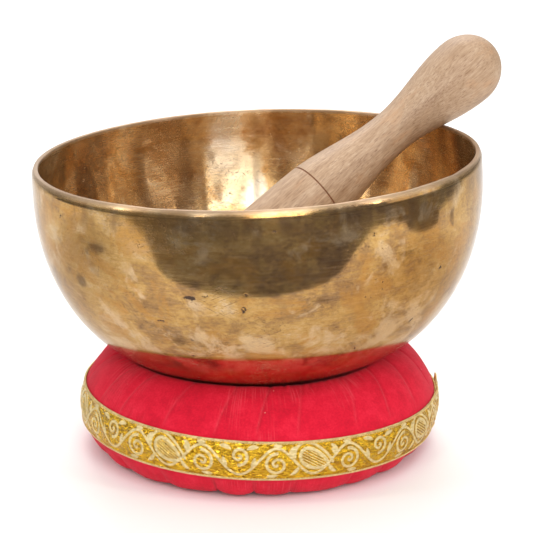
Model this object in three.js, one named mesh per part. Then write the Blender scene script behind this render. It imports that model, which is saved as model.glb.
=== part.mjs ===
// A hand-hammered singing bowl standing on a round gathered cushion, with its wooden mallet
// leaning in it. Millimetres, +Z up. The origin is on the table, under the middle of the set.

import * as THREE from 'three';
import { mergeVertices } from 'three/addons/utils/BufferGeometryUtils.js';

const DEGREE = Math.PI / 180;
const TOUCH_GAP = 0.4; // left between two pieces that touch

// Bowl: turned shape, in its own frame with z = 0 at the flat base
const RIM_RADIUS = 125;
const BASE_RADIUS = 44;
const BOWL_HEIGHT = 116.3;
const UPRIGHT_HEIGHT = 100; // above this the wall stands straight
const BOWL_CURVE = 2.05; // exponent of the super-ellipse between base and upright wall
const WALL = 2.4;
const LIP_THICKNESS = 4;
const LIP_THICKENING_HEIGHT = 14;
const LIP_BEVEL_HEIGHT = 2.8;
const LIP_BEVEL_DEPTH = 1.6;
const LIP_ROUNDING = 0.6;
const BOWL_SEGMENTS = 72;

// How the bowl stands on the soft cushion: a little off centre and a little tilted
const BOWL_BASE = new THREE.Vector3(3.1, 2.2, 52);
const BOWL_TILT = 2.36 * DEGREE;
const BOWL_HIGH_SIDE = 28 * DEGREE;

// Mallet: lengths measured from the tip of the head, along the axis
const MALLET_LENGTH = 276.4;
const HEAD_RADIUS = 20.6;
const HEAD_CAP = 22.5;
const WAIST_AT = 81;
const WAIST_RADIUS = 12.7;
const GROOVE_AT = 139;
const GROOVE_WIDTH = 1.6;
const GROOVE_DEPTH = 0.7;
const BELLY_AT = 146;
const BELLY_RADIUS = 19.7;
const FOOT_CAP = 20;
const MALLET_SEGMENTS = 28;

// Where the mallet leans: the tip of its head, its rise above the horizontal and its bearing
const MALLET_TIP = new THREE.Vector3(118.9, 99.9, 215.8);
const MALLET_RISE = 33 * DEGREE;
const MALLET_BEARING = 39 * DEGREE;

// Cushion cover: an outer skin with a hole at each gathered centre
const COVER_RADIUS = 101.3;
const COVER_WAIST_HEIGHT = 27; // the height of the widest girth
const CROWN_HEIGHT = 59.5;
const CROWN_RADIUS = 72;
const CROWN_CURVE = 1.75;
const FOOTPRINT_RADIUS = 84;
const COVER_THICKNESS = 1.2;
const GATHER_RADIUS = 3;
const GATHER_REACH = 16;
const TOP_GATHER_DEPTH = 5;
const UNDER_GATHER_DEPTH = 4.5;
const CUSHION_SEGMENTS = 54;

// Cotton filling
const FILLING_INSET = 3.2;
const FILLING_SEGMENTS = 40;

// Brocade ribbon round the side of the cushion
const RIBBON_LOW = 14.9;
const RIBBON_HIGH = 36.3;
const RIBBON_THICKNESS = 0.8;
const RIBBON_TILT = 1.5 * DEGREE;
const RIBBON_LOW_SIDE = 12 * DEGREE;
const RIBBON_START = 6 * DEGREE; // its free end, which laps over the first
const RIBBON_LAP = 12 * DEGREE;
const RIBBON_STEPS = 64;
const RIBBON_LEVELS = 4;

// Sewing threads
const THREAD_RADIUS = 0.5;
const THREAD_SIDES = 5;
const THREAD_SEGMENTS = 72;
const STITCH_MARGIN = 1.4;
const TOP_GATHER_THREAD_RADIUS = 7.5;
const TOP_GATHER_THREAD_HEIGHT = 48.6;
const UNDER_GATHER_THREAD_RADIUS = 8;
const UNDER_GATHER_THREAD_HEIGHT = 2;

const material = (color, roughness, metalness) =>
  new THREE.MeshStandardMaterial({ color, roughness, metalness });
const bronze = material(0xa98148, 0.3, 1);
const paleWood = material(0xc9a784, 0.55, 0);
const redCotton = material(0x9c0e14, 0.85, 0);
const cotton = material(0xe9e2d2, 0.95, 0);
const goldBrocade = material(0xc79a3f, 0.5, 0.3);
const goldThread = material(0xd8b566, 0.5, 0.3);
const redThread = material(0x7d0b10, 0.8, 0);

// Super-ellipse quarter: the height share reached at a given share of the way out
const curveShare = (share, power) => (1 - share ** power) ** (1 / power);
const clamp01 = (value) => Math.min(1, Math.max(0, value));
const smooth = (share) => (1 - Math.cos(Math.PI * clamp01(share))) / 2;

// Turn a profile of [radius, height] about the Z axis
function turned(profile, segments) {
  const points = profile.map(([radius, height]) => new THREE.Vector2(radius, height));
  const geometry = new THREE.LatheGeometry(points, segments);
  return geometry.rotateX(Math.PI / 2);
}

// Skin a row of equal closed loops; a ring joins its last loop to its first, a strip is capped
function skinned(loops, isRing) {
  const size = loops[0].length;
  const indices = [];
  const spans = isRing ? loops.length : loops.length - 1;
  for (let i = 0; i < spans; i += 1) {
    const here = i * size;
    const next = ((i + 1) % loops.length) * size;
    for (let j = 0; j < size; j += 1) {
      const k = (j + 1) % size;
      indices.push(here + j, next + k, next + j);
      indices.push(here + j, here + k, next + k);
    }
  }
  if (!isRing) {
    const last = (loops.length - 1) * size;
    for (let j = 1; j < size - 1; j += 1) {
      indices.push(0, j + 1, j);
      indices.push(last, last + j, last + j + 1);
    }
  }
  const geometry = new THREE.BufferGeometry();
  geometry.setAttribute('position', new THREE.Float32BufferAttribute(loops.flat(2), 3));
  geometry.setIndex(indices);
  geometry.computeVertexNormals();
  return geometry;
}

// A ring whose section, a closed loop of [radius, height], may change with the azimuth
function ring(sectionAt, segments) {
  const loops = [];
  for (let i = 0; i < segments; i += 1) {
    const azimuth = (2 * Math.PI * i) / segments;
    loops.push(placed(sectionAt(azimuth), azimuth));
  }
  return skinned(loops, true);
}

function placed(section, azimuth) {
  const cosine = Math.cos(azimuth);
  const sine = Math.sin(azimuth);
  return section.map(([radius, height]) => [radius * cosine, radius * sine, height]);
}

// Move an open outline to its right-hand side by a distance
function inset(outline, distance) {
  return outline.map(([radius, height], i) => {
    const before = outline[Math.max(0, i - 1)];
    const after = outline[Math.min(outline.length - 1, i + 1)];
    const along = new THREE.Vector2(after[0] - before[0], after[1] - before[1]).normalize();
    return [radius + along.y * distance, height - along.x * distance];
  });
}

// ---------------------------------------------------------------- bowl

// Height of the bowl's outer surface above its base plane, at a radius
function bowlOuterHeight(radius) {
  const share = clamp01((radius - BASE_RADIUS) / (RIM_RADIUS - BASE_RADIUS));
  return UPRIGHT_HEIGHT * (1 - curveShare(share, BOWL_CURVE));
}

// Outer outline of the bowl below the lip, from the base's edge to the upright wall
function bowlOuterOutline(steps) {
  const outline = [];
  for (let i = 0; i <= steps; i += 1) {
    const angle = (Math.PI / 2) * (i / steps);
    const outward = Math.sin(angle) ** (2 / BOWL_CURVE);
    const down = Math.cos(angle) ** (2 / BOWL_CURVE);
    const radius = BASE_RADIUS + (RIM_RADIUS - BASE_RADIUS) * outward;
    outline.push([radius, UPRIGHT_HEIGHT * (1 - down)]);
  }
  return outline;
}

function bowlGeometry() {
  const outer = bowlOuterOutline(11);
  const inner = inset(outer, -WALL);
  const lipInner = RIM_RADIUS - LIP_THICKNESS;
  const lip = [
    [RIM_RADIUS, BOWL_HEIGHT - LIP_BEVEL_HEIGHT],
    [RIM_RADIUS - LIP_BEVEL_DEPTH, BOWL_HEIGHT - LIP_ROUNDING / 2],
    [RIM_RADIUS - LIP_BEVEL_DEPTH - LIP_ROUNDING, BOWL_HEIGHT],
    [lipInner + LIP_ROUNDING, BOWL_HEIGHT],
    [lipInner, BOWL_HEIGHT - LIP_ROUNDING],
    [RIM_RADIUS - WALL - 0.4, BOWL_HEIGHT - LIP_THICKENING_HEIGHT],
  ];
  const floor = [0, WALL];
  return turned([[0, 0], ...outer, ...lip, ...inner.reverse(), floor], BOWL_SEGMENTS);
}

// ---------------------------------------------------------------- mallet

// Radius of the mallet at a distance from the tip of its head
function malletRadius(distance) {
  if (distance < HEAD_CAP) {
    return HEAD_RADIUS * Math.sqrt(1 - (1 - distance / HEAD_CAP) ** 2);
  }
  if (distance < WAIST_AT) {
    const share = smooth((distance - HEAD_CAP) / (WAIST_AT - HEAD_CAP));
    return HEAD_RADIUS + (WAIST_RADIUS - HEAD_RADIUS) * share;
  }
  const toFoot = MALLET_LENGTH - distance;
  if (toFoot < FOOT_CAP) {
    return BELLY_RADIUS * Math.sqrt(1 - (1 - toFoot / FOOT_CAP) ** 2);
  }
  const share = smooth((distance - WAIST_AT) / (BELLY_AT - WAIST_AT));
  return WAIST_RADIUS + (BELLY_RADIUS - WAIST_RADIUS) * share;
}

function malletGeometry() {
  const capSteps = 6;
  const bodySteps = 8;
  const distances = [];
  for (let i = 0; i <= capSteps; i += 1) {
    distances.push(HEAD_CAP * (1 - Math.cos((Math.PI / 2) * (i / capSteps))));
  }
  for (let i = 1; i <= bodySteps; i += 1) {
    distances.push(HEAD_CAP + (WAIST_AT - HEAD_CAP) * (i / bodySteps));
  }
  for (let i = 1; i <= bodySteps; i += 1) {
    const reach = GROOVE_AT - GROOVE_WIDTH / 2;
    distances.push(WAIST_AT + (reach - WAIST_AT) * (i / bodySteps));
  }
  distances.push(GROOVE_AT);
  distances.push(GROOVE_AT + GROOVE_WIDTH / 2);
  for (let i = capSteps; i >= 0; i -= 1) {
    distances.push(MALLET_LENGTH - FOOT_CAP * (1 - Math.cos((Math.PI / 2) * (i / capSteps))));
  }
  const profile = distances.map((distance) => {
    const depth = distance === GROOVE_AT ? GROOVE_DEPTH : 0;
    return [malletRadius(distance) - depth, -distance];
  });
  profile[0][0] = 0;
  profile[profile.length - 1][0] = 0;
  return turned(profile.reverse(), MALLET_SEGMENTS);
}

// ---------------------------------------------------------------- cushion

// Height above the table of the bowl's underside, at a place on the cushion
function bowlUnderside(radius, azimuth) {
  const x = radius * Math.cos(azimuth) - BOWL_BASE.x;
  const y = radius * Math.sin(azimuth) - BOWL_BASE.y;
  const uphill = x * Math.cos(BOWL_HIGH_SIDE) + y * Math.sin(BOWL_HIGH_SIDE);
  return BOWL_BASE.z + bowlOuterHeight(Math.hypot(x, y)) + uphill * Math.tan(BOWL_TILT);
}

// Radius of the cushion's side at a height above the table
function sideRadius(height) {
  if (height < COVER_WAIST_HEIGHT) {
    const share = 1 - height / COVER_WAIST_HEIGHT;
    return FOOTPRINT_RADIUS + (COVER_RADIUS - FOOTPRINT_RADIUS) * curveShare(share, 2);
  }
  const share = (height - COVER_WAIST_HEIGHT) / (CROWN_HEIGHT - COVER_WAIST_HEIGHT);
  return CROWN_RADIUS + (COVER_RADIUS - CROWN_RADIUS) * curveShare(share, CROWN_CURVE);
}

// Height of the cushion's top, pressed in by the bowl and drawn down at the gathered centre
function topHeight(radius, azimuth) {
  const share = clamp01((radius - CROWN_RADIUS) / (COVER_RADIUS - CROWN_RADIUS));
  const rise = (CROWN_HEIGHT - COVER_WAIST_HEIGHT) * curveShare(share, CROWN_CURVE);
  const pressed = bowlUnderside(radius, azimuth) - TOUCH_GAP - 0.2;
  const drawnDown = TOP_GATHER_DEPTH * (1 - smooth((radius - GATHER_RADIUS) / GATHER_REACH));
  return Math.min(COVER_WAIST_HEIGHT + rise, pressed) - drawnDown;
}

function undersideHeight(radius) {
  return UNDER_GATHER_DEPTH * (1 - smooth((radius - GATHER_RADIUS) / GATHER_REACH));
}

// Outline of the cushion from the top gather out over the crown and in to the lower gather
function cushionOutline(azimuth) {
  const outline = [];
  for (const radius of [GATHER_RADIUS, 9, 15, 21, 46, 60, 69, 75, 79, 85, 92]) {
    outline.push([radius, topHeight(radius, azimuth)]);
  }
  for (const height of [40, 32, 22, 13, 5]) {
    outline.push([sideRadius(height), height]);
  }
  for (const radius of [FOOTPRINT_RADIUS, 21, 13, GATHER_RADIUS]) {
    outline.push([radius, undersideHeight(radius)]);
  }
  return outline;
}

function coverGeometry() {
  const section = (azimuth) => {
    const outer = cushionOutline(azimuth);
    return [...outer, ...inset(outer, COVER_THICKNESS).reverse()];
  };
  return ring(section, CUSHION_SEGMENTS);
}

// The filling is one solid: every section of it closes along the axis
function fillingGeometry() {
  const middleTop = [0, topHeight(0, 0) - FILLING_INSET];
  const middleUnder = [0, undersideHeight(0) + FILLING_INSET];
  const section = (azimuth) => {
    const outer = inset(cushionOutline(azimuth), FILLING_INSET);
    return [middleTop, ...outer, middleUnder];
  };
  return ring(section, FILLING_SEGMENTS);
}

// ---------------------------------------------------------------- ribbon and threads

// How far the ribbon's run is above its mean height, at an azimuth
function ribbonRise(azimuth) {
  return -COVER_RADIUS * Math.tan(RIBBON_TILT) * Math.cos(azimuth - RIBBON_LOW_SIDE);
}

function ribbonGeometry() {
  const loops = [];
  for (let i = 0; i <= RIBBON_STEPS; i += 1) {
    const turn = (2 * Math.PI + RIBBON_LAP) * (i / RIBBON_STEPS);
    const azimuth = RIBBON_START + turn;
    const onLap = smooth((turn - 2 * Math.PI + RIBBON_LAP / 2) / (RIBBON_LAP / 2));
    const lift = TOUCH_GAP + onLap * (RIBBON_THICKNESS + TOUCH_GAP);
    const inner = [];
    for (let level = 0; level < RIBBON_LEVELS; level += 1) {
      const share = level / (RIBBON_LEVELS - 1);
      const height = RIBBON_LOW + (RIBBON_HIGH - RIBBON_LOW) * share + ribbonRise(azimuth);
      inner.push([sideRadius(height) + lift, height]);
    }
    const outer = inner.map(([radius, height]) => [radius + RIBBON_THICKNESS, height]);
    loops.push(placed([...inner, ...outer.reverse()], azimuth));
  }
  return skinned(loops, false);
}

// A thread laid in a ring; heightAt and radiusAt give its middle line
function threadRing(radiusAt, heightAt) {
  const section = (azimuth) => {
    const loop = [];
    for (let i = 0; i < THREAD_SIDES; i += 1) {
      const angle = (-2 * Math.PI * i) / THREAD_SIDES;
      const radius = radiusAt(azimuth) + THREAD_RADIUS * Math.cos(angle);
      loop.push([radius, heightAt(azimuth) + THREAD_RADIUS * Math.sin(angle)]);
    }
    return loop;
  };
  return ring(section, THREAD_SEGMENTS);
}

// How far a thread outside the ribbon stands off to pass over the ribbon's lap
function lapLift(azimuth) {
  const fromStart = Math.atan2(Math.sin(azimuth - RIBBON_START), Math.cos(azimuth - RIBBON_START));
  const ramp = RIBBON_LAP / 2;
  const share = smooth((fromStart + RIBBON_LAP) / ramp) * smooth((2 * RIBBON_LAP - fromStart) / ramp);
  return share * (RIBBON_THICKNESS + TOUCH_GAP);
}

// A row of stitches just inside one edge of the ribbon
function stitchingGeometry(edgeHeight) {
  const heightAt = (azimuth) => edgeHeight + ribbonRise(azimuth);
  const standOff = 2 * TOUCH_GAP + RIBBON_THICKNESS + THREAD_RADIUS;
  const radiusAt = (azimuth) => sideRadius(heightAt(azimuth)) + standOff + lapLift(azimuth);
  return threadRing(radiusAt, heightAt);
}

function gatherThreadGeometry(radius, height) {
  return threadRing(() => radius, () => height);
}

// ---------------------------------------------------------------- the set

function node(name, geometry, finish) {
  const closed = geometry.clone();
  closed.deleteAttribute('normal');
  if (closed.hasAttribute('uv')) {
    closed.deleteAttribute('uv');
  }
  const welded = mergeVertices(closed, 1e-4);
  welded.computeVertexNormals();
  const mesh = new THREE.Mesh(welded, finish);
  mesh.name = name;
  return mesh;
}

function bowlOnCushion() {
  const bowl = node('bowl', bowlGeometry(), bronze);
  bowl.position.copy(BOWL_BASE);
  const tiltAxis = new THREE.Vector3(Math.sin(BOWL_HIGH_SIDE), -Math.cos(BOWL_HIGH_SIDE), 0);
  bowl.quaternion.setFromAxisAngle(tiltAxis, BOWL_TILT);
  return bowl;
}

function malletInBowl() {
  const mallet = node('mallet', malletGeometry(), paleWood);
  const level = Math.cos(MALLET_RISE);
  const axis = new THREE.Vector3(
    level * Math.cos(MALLET_BEARING),
    level * Math.sin(MALLET_BEARING),
    Math.sin(MALLET_RISE),
  );
  mallet.position.copy(MALLET_TIP);
  mallet.quaternion.setFromUnitVectors(new THREE.Vector3(0, 0, 1), axis);
  return mallet;
}

function cushion() {
  const group = new THREE.Group();
  const topThread = gatherThreadGeometry(TOP_GATHER_THREAD_RADIUS, TOP_GATHER_THREAD_HEIGHT);
  const underThread = gatherThreadGeometry(UNDER_GATHER_THREAD_RADIUS, UNDER_GATHER_THREAD_HEIGHT);
  group.add(node('cushion_cover', coverGeometry(), redCotton));
  group.add(node('cushion_filling', fillingGeometry(), cotton));
  group.add(node('brocade_ribbon', ribbonGeometry(), goldBrocade));
  group.add(node('ribbon_stitching_upper', stitchingGeometry(RIBBON_HIGH - STITCH_MARGIN), goldThread));
  group.add(node('ribbon_stitching_lower', stitchingGeometry(RIBBON_LOW + STITCH_MARGIN), goldThread));
  group.add(node('gather_thread_top', topThread, redThread));
  group.add(node('gather_thread_under', underThread, redThread));
  return group;
}

const singingBowlSet = new THREE.Group();
singingBowlSet.add(bowlOnCushion());
singingBowlSet.add(malletInBowl());
singingBowlSet.add(cushion());

export default singingBowlSet;
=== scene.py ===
"""The looks of a hand-hammered singing bowl on its gathered cushion, with its wooden mallet.

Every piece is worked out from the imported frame. Metres, +Z up. Directions named "studio" are
seen from the camera: x to its right, y away from it, z up.
"""

import math

import bpy
import numpy as np
from mathutils import Euler, Matrix, Vector


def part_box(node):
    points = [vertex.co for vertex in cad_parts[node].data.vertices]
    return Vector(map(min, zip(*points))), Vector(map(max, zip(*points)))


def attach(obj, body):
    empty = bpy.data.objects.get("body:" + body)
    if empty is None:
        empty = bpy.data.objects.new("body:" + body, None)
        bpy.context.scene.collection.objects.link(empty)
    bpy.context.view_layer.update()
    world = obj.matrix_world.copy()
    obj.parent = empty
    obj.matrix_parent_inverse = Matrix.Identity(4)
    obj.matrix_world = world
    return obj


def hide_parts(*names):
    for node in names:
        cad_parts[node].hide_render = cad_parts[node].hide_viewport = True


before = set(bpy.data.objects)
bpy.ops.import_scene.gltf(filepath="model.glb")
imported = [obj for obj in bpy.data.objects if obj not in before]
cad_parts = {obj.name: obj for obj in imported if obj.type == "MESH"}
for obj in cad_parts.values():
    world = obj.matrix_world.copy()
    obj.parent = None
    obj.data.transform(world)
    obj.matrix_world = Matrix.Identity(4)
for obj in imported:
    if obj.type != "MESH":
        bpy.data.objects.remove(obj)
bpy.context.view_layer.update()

MM = 0.001
TAU = 2 * math.pi
DEG = math.pi / 180

# Studio: the side the picture is taken from, and where the camera stands in it
STUDIO_TURN = 12 * DEG
CAMERA_PLACE = (0.6 * MM, -1.0, 0.38675)
CAMERA_PITCH = 15.83 * DEG
CAMERA_YAW = 0.22 * DEG
CAMERA_LENS = 124.2

# Bowl outline, as in the CAD part but for the rounding and the lean of its rim
BASE_RADIUS = 44 * MM
UPRIGHT_HEIGHT = 100 * MM
BOWL_CURVE = 2.05
WALL = 2.4 * MM
LIP_THICKNESS = 4 * MM
LIP_THICKENING = 14 * MM
LIP_BEVEL_HEIGHT = 2.8 * MM
LIP_BEVEL_DEPTH = 1.6 * MM
LIP_ROUNDING = 0.7 * MM  # a little more than in the CAD part, whose lip has no arcs
RIM_LEAN_FROM = 14 * MM
RIM_LEAN = 0.55 * MM
BOWL_COLUMNS = 600
DEEPEST_DENT = 1.3 * MM
# Larger oxide marks: turn in degrees and height in mm on the bowl, then size across and tall
OXIDE_MARKS = (
    (-95, 70, 3.6, 1.6), (-91, 72.5, 2.0, 1.0), (-82, 64, 1.2, 2.0), (-133, 104, 1.6, 0.8),
    (-104, 55, 2.2, 1.0), (-118, 46, 1.8, 0.8), (-98, 34, 1.0, 1.2), (-55, 88, 1.2, 0.8),
    (-51, 32, 1.2, 0.8), (-27, 69, 2.0, 1.2), (-33, 42, 2.0, 1.2), (60, 60, 3.0, 1.4),
    (100, 84, 2.4, 1.2), (150, 50, 2.2, 1.6), (176, 90, 1.6, 1.0), (20, 30, 1.8, 1.2),
)
# Soft dark smudges on the outside, given the same way
SMUDGES = (
    (-40, 84, 6, 1.8), (-47, 80, 3, 2.6), (-62, 66, 7, 3), (-24, 96, 3, 6), (-120, 92, 9, 4),
    (-128, 70, 5, 5), (-70, 40, 8, 3), (-100, 44, 6, 3), (80, 70, 9, 5), (140, 90, 7, 4),
    (25, 60, 6, 6),
)
# Wide brown tarnish inside, given the same way; the widest, at 131 degrees, is painted shade over
# the part of the inside that looks darker
TARNISH_AND_SHADE = (
    (131, 80, 24, 70), (66, 95, 16, 40), (160, 70, 12, 40), (-90, 80, 22, 50), (-20, 90, 14, 40),
)
# Places inside where the metal is rubbed silvery, given the same way; those at 111, 103 and 90
# degrees sit where highlights shine inside and are painted highlights
SILVERY_SPOTS_AND_HIGHLIGHTS = (
    (111, 90, 14, 36),
    (103, 66, 7, 18), (90, 60, 7, 22), (146, 62, 3, 12), (52, 70, 5, 18),
    (-60, 70, 8, 22), (-130, 60, 9, 18), (10, 60, 7, 20), (200, 84, 5, 12),
)

# Mallet outline, as in the CAD part: lengths from the tip of the head
HEAD_RADIUS = 20.6 * MM
HEAD_CAP = 22.5 * MM
WAIST_AT = 81 * MM
WAIST_RADIUS = 12.7 * MM
GROOVE_AT = 139 * MM
GROOVE_HALF = 0.55 * MM
GROOVE_DEPTH = 0.7 * MM
BELLY_AT = 146 * MM
BELLY_RADIUS = 19.7 * MM
FOOT_CAP = 20 * MM
MALLET_COLUMNS = 160

# Cushion outline, as in the CAD part
COVER_RADIUS = 101.3 * MM
GIRTH_HEIGHT = 27 * MM
CROWN_HEIGHT = 59.5 * MM
CROWN_RADIUS = 72 * MM
CROWN_CURVE = 1.75
FOOTPRINT_RADIUS = 84 * MM
GATHER_RADIUS = 3 * MM
GATHER_REACH = 16 * MM
TOP_GATHER_DEPTH = 5 * MM
UNDER_GATHER_DEPTH = 4.5 * MM
BOWL_CLEARANCE = 0.6 * MM
COVER_COLUMNS = 1080
WARP_THREADS = 820
WEFT_PITCH = 0.8 * MM
PLEATS = 22

# Ribbon, as in the CAD part
RIBBON_LOW = 14.9 * MM
RIBBON_HIGH = 36.3 * MM
RIBBON_THICKNESS = 0.7 * MM
RIBBON_TILT = 1.5 * DEG
RIBBON_LOW_SIDE = 12 * DEG
RIBBON_START = 6 * DEG
RIBBON_LAP = 12 * DEG
RIBBON_GAP = 0.4 * MM
RIBBON_STEP = 0.30 * MM
RIBBON_REPEATS = 8
PATTERN_RELIEF = 0.2 * MM
PICOT_PITCH = 1.1 * MM
PICOT_REACH = 0.35 * MM
TWILL_PITCH = 0.8 * MM
RIBBON_WEFT_PITCH = 0.5 * MM
# Scrolls of one repeat: share along, height in mm, start, turns, size in mm and sense
SCROLLS = (
    (0.25, -1.4, 1.57, 1.6, 6.0, 1), (0.75, -1.4, 1.57, 1.6, 6.0, -1),
    (0.0, 3.0, -1.57, 1.4, 4.8, 1), (1.0, 3.0, -1.57, 1.4, 4.8, 1),
)
# Fronds of one half repeat: share along, height in mm, heading, bend and length in mm
FRONDS = (
    (0.34, -7.6, 0.4, 0.9, 7.0), (0.13, 8.0, 3.0, 0.8, 6.5), (0.38, 8.2, -2.6, 0.7, 6.0),
    (0.08, -2.6, 0.9, 0.6, 5.5), (0.18, -8.4, 0.0, 0.2, 6.0), (0.345, 1.8, 1.4, -0.8, 5.0),
    (0.23, 8.6, 0.1, -0.2, 4.5),
)

# Stitches on the ribbon's edges, and the gathering threads
STITCH_LENGTH = 1.4 * MM
STITCH_GAP = 0.2 * MM
STITCH_THICKNESS = 0.42 * MM
GATHER_THICKNESS = 0.84 * MM
GATHER_SWING = 0.25 * MM

# Stage, in studio coordinates: each soft light's place, target, size and power
WORLD_STRENGTH = 0.24
LIGHTS = {
    "ceiling": ((0, 0.7, 2.0), (0, 0.7, 0), (3.0, 3.0), 34),
    "over_back": ((-0.1, 1.15, 1.5), (0, 0, 0.15), (1.1, 0.8), 14),
    "key": ((0.24, -1.48, 1.05), (0, 0, 0.12), (0.88, 1.75), 20),
    "fill_left": ((-1.5, -0.15, 0.75), (0, 0, 0.15), (1.3, 1.1), 2),
    "side_left": ((-1.13, -0.41, 0.85), (0, 0, 0.15), (0.10, 0.9), 3),
    "side_right": ((1.02, -0.64, 0.85), (0, 0, 0.15), (0.08, 0.9), 3),
    "fill_right": ((1.5, -0.25, 0.62), (0, 0, 0.15), (1.0, 0.9), 3),
    "strip_left": ((-0.60, -1.15, 0.92), (0, 0, 0.15), (0.04, 1.05), 2),
    "back": ((0, 2.3, 0.95), (0, 0, 0.15), (3.2, 1.5), 14),
}
FLOOR_REACH = 14.0
FLAG_CORNERS = 48
FLAG_STRENGTH = 0.85
# Outlines of what lies dark beyond the table, traced from the photo and rounded
DARK_BEYOND_TABLE = (
    (-0.70, -0.36), (-0.50, -0.37), (-0.42, -0.355), (-0.33, -0.305), (-0.25, -0.255),
    (-0.195, -0.237), (-0.13, -0.238), (0.14, -0.254), (0.20, -0.276), (0.32, -0.345),
    (0.42, -0.388), (0.54, -0.436), (0.62, -0.448), (0.69, -0.405), (0.73, -0.35),
    (0.747, -0.28), (0.735, -0.235), (0.66, -0.205), (0.60, -0.165), (0.57, -0.11),
    (0.565, -0.06), (0.59, -0.02), (0.64, 0.03), (0.80, 0.07), (0.88, 0.25),
    (0.95, 0.55), (2.4, 1.2), (2.4, -2.4), (-2.4, -2.4), (-2.4, 0.9),
    (-1.0, 0.5), (-0.86, 0.2), (-0.80, -0.1), (-0.80, -0.27),
)
DARK_SMALL = (
    (0.366, -0.175), (0.386, -0.172), (0.392, -0.13), (0.398, -0.085), (0.384, -0.078),
    (0.372, -0.10), (0.366, -0.14),
)


# ---- small helpers

def smooth(share):
    """From 0 to 1 along half a cosine."""
    return (1 - np.cos(np.pi * np.clip(share, 0, 1))) / 2


def curve_share(share, power):
    """The other coordinate of a super-ellipse quarter."""
    return np.clip(1 - np.clip(share, 0, 1) ** power, 0, 1) ** (1 / power)


def bell(distance, width):
    return np.exp(-((distance / width) ** 2))


def wrapped(angle):
    """An angle brought to within half a turn of zero."""
    return (angle + np.pi) % TAU - np.pi


def studio(x, y, z):
    """A place given as the camera sees it, in the row frame."""
    return Matrix.Rotation(STUDIO_TURN, 4, "Z") @ Vector((x, y, z))


def turned_frame(name):
    """Matrix of a turned CAD node: +Z along its axis, origin at its lowest point on the axis."""
    places = np.array([v.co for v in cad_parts[name].data.vertices])
    places = np.unique(places.round(6), axis=0)
    middle = places.mean(0)
    spread, directions = np.linalg.eigh(np.cov((places - middle).T))
    odd = 0 if spread[1] - spread[0] > spread[2] - spread[1] else 2
    axis = directions[:, odd] * np.sign(directions[2, odd])
    along = (places - middle) @ axis
    turn = Vector((0, 0, 1)).rotation_difference(Vector(axis)).to_matrix().to_4x4()
    start = Vector(middle + axis * along.min())
    radii = np.linalg.norm(places - middle - np.outer(along, axis), axis=1)
    return Matrix.Translation(start) @ turn, float(np.ptp(along)), float(radii.max())


def new_piece(name, places, faces):
    """An object over the given places and faces."""
    mesh = bpy.data.meshes.new(name)
    mesh.from_pydata(places, [], faces)
    made = bpy.data.objects.new(name, mesh)
    bpy.context.scene.collection.objects.link(made)
    return made


def shade_smooth(piece):
    faces = piece.data.polygons
    faces.foreach_set("use_smooth", np.ones(len(faces), bool))


def add_faces(piece, outlines):
    """Close holes of a piece, each with one face over a list of its vertices."""
    mesh = piece.data
    for corners in outlines:
        start = len(mesh.loops)
        mesh.loops.add(len(corners))
        mesh.polygons.add(1)
        for k, corner in enumerate(corners):
            mesh.loops[start + k].vertex_index = corner
        mesh.polygons[len(mesh.polygons) - 1].loop_start = start
    mesh.update(calc_edges=True)
    mesh.validate()


def cap_poles(piece, rows, columns):
    """Close the small holes at both poles of a turned piece."""
    last = (rows - 1) * columns
    add_faces(piece, [range(columns - 1, -1, -1), range(last, last + columns)])


def cap_ends(piece, rows, columns):
    """Close the two cut ends of a strip whose rows run round."""
    count = rows * columns
    add_faces(piece, [range(0, count, columns), range(count - 1, 0, -columns)])


def grid_object(name, grid, ring_rows=False, ring_columns=True):
    """A mesh over a grid of places [row, column], closed round its columns, its rows or both.

    The UV map runs 0..1 round the columns and in metres along the rows."""
    rows, columns = grid.shape[:2]
    index = np.arange(rows * columns).reshape(rows, columns)
    row_span = rows if ring_rows else rows - 1
    column_span = columns if ring_columns else columns - 1
    i, j = np.meshgrid(np.arange(row_span), np.arange(column_span), indexing="ij")
    i1, j1 = (i + 1) % rows, (j + 1) % columns
    faces = np.stack([index[i, j], index[i, j1], index[i1, j1], index[i1, j]], -1)
    made = new_piece(name, grid.reshape(-1, 3).tolist(), faces.reshape(-1, 4).tolist())
    steps = np.linalg.norm(np.diff(grid[:, 0], axis=0), axis=1)
    lengths = np.concatenate([[0], np.cumsum(steps), [np.sum(steps)]])
    across = np.stack([j, j + 1, j + 1, j], -1) / column_span
    along = lengths[np.stack([i, i, i + 1, i + 1], -1)]
    uv = made.data.uv_layers.new(name="UVMap")
    uv.data.foreach_set("uv", np.stack([across, along], -1).reshape(-1))
    shade_smooth(made)
    return made


def store(piece, name, values):
    """Keep one number or one vector for each vertex, for the materials."""
    kind = "FLOAT" if values.ndim == 1 else "FLOAT_VECTOR"
    attribute = piece.data.attributes.new(name, kind, "POINT")
    key = "value" if values.ndim == 1 else "vector"
    attribute.data.foreach_set(key, values.astype(np.float32).reshape(-1))


def face_out(piece):
    """Turn the faces of a closed piece outwards."""
    mesh = piece.data
    mesh.calc_loop_triangles()
    corner = np.zeros(len(mesh.loop_triangles) * 3, int)
    mesh.loop_triangles.foreach_get("vertices", corner)
    co = np.zeros(len(mesh.vertices) * 3)
    mesh.vertices.foreach_get("co", co)
    a, b, c = co.reshape(-1, 3)[corner.reshape(-1, 3)].transpose(1, 0, 2)
    if np.einsum("ij,ij->i", a, np.cross(b, c)).sum() < 0:
        mesh.flip_normals()


def outline_normals(outline):
    """Unit normals of an open [radius, height] outline, to the right of its direction."""
    along = np.gradient(outline, axis=0)
    along /= np.linalg.norm(along, axis=1, keepdims=True)
    return np.stack([along[:, 1], -along[:, 0]], 1)


def arc_lengths(outline):
    steps = np.linalg.norm(np.diff(outline, axis=0), axis=1)
    return np.concatenate([[0], np.cumsum(steps)])


def evenly(outline, step):
    """The same outline with points at equal distances."""
    run = arc_lengths(outline)
    count = max(2, round(run[-1] / step) + 1)
    at = np.linspace(0, run[-1], count)
    return np.stack([np.interp(at, run, outline[:, k]) for k in (0, 1)], 1)


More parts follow.
